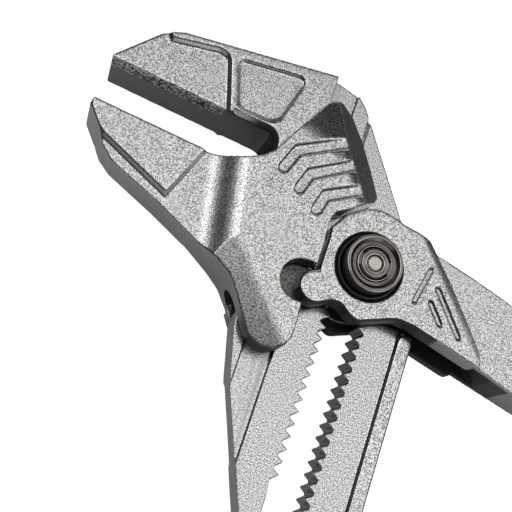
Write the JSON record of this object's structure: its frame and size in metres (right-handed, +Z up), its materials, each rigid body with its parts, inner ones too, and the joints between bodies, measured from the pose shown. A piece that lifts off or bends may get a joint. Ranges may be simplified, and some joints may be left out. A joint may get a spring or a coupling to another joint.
{
  "type": "pliers wrench",
  "caption": "Pliers wrench with a fixed jaw on a toothed bar, a sliding parallel jaw pushed by the nose of a hinged lever, a sprung press-button lock and padded grips.",
  "frame": {"origin": "centre of the base of the box around the tool as it lies on its back, button up", "axes": "+Z up out of the face with the button, +Y from the handles towards the fixed jaw along the toothed bar, +X towards the lever handle"},
  "size_m": [0.2476, 0.2508, 0.0243],
  "materials": {
    "forged_steel": "satin plating over shot-blasted forged steel",
    "ground_steel": "ground bright steel",
    "dark_steel": "polished dark steel",
    "spring_steel": "drawn wire",
    "grip_plastic": "soft moulded plastic, fine grain"
  },
  "bodies": {
    "fixed_leg": {"fixed_jaw_leg": "forged_steel", "fixed_grip": "grip_plastic"},
    "carriage": {"front_thrust_washer": "ground_steel", "back_thrust_washer": "ground_steel", "front_bush": "dark_steel", "back_bush": "dark_steel", "button_spring": "spring_steel"},
    "jaw": {"moving_jaw": "forged_steel"},
    "lever": {"lever_leg": "forged_steel", "lever_grip": "grip_plastic"},
    "lock": {"joint_bolt": "dark_steel", "push_button": "dark_steel", "button_pin": "ground_steel"}
  },
  "joints": [
    {"name": "jaw_adjust", "type": "slide", "parent": "fixed_leg", "child": "carriage", "axis": [0, 1, 0], "range_m": [-0.033, 0]},
    {"name": "lever_swing", "type": "hinge", "parent": "carriage", "child": "lever", "pos_m": [-0.05581, 0.08316, 0.0104], "axis": [0, 0, 1], "range_deg": [-45, 0]},
    {"name": "jaw_close", "type": "slide", "parent": "carriage", "child": "jaw", "axis": [0, 1, 0], "range_m": [0, 0.00945]},
    {"name": "button_press", "type": "slide", "parent": "carriage", "child": "lock", "axis": [0, 0, 1], "range_m": [-0.0035, 0], "stiffness_N_per_m": 900, "springref_m": 0.002, "deforming": ["button_spring"]}
  ],
  "couplings": [
    {"joint": "jaw_close", "follows": "lever_swing", "m_per_rad": -0.012032}
  ]
}
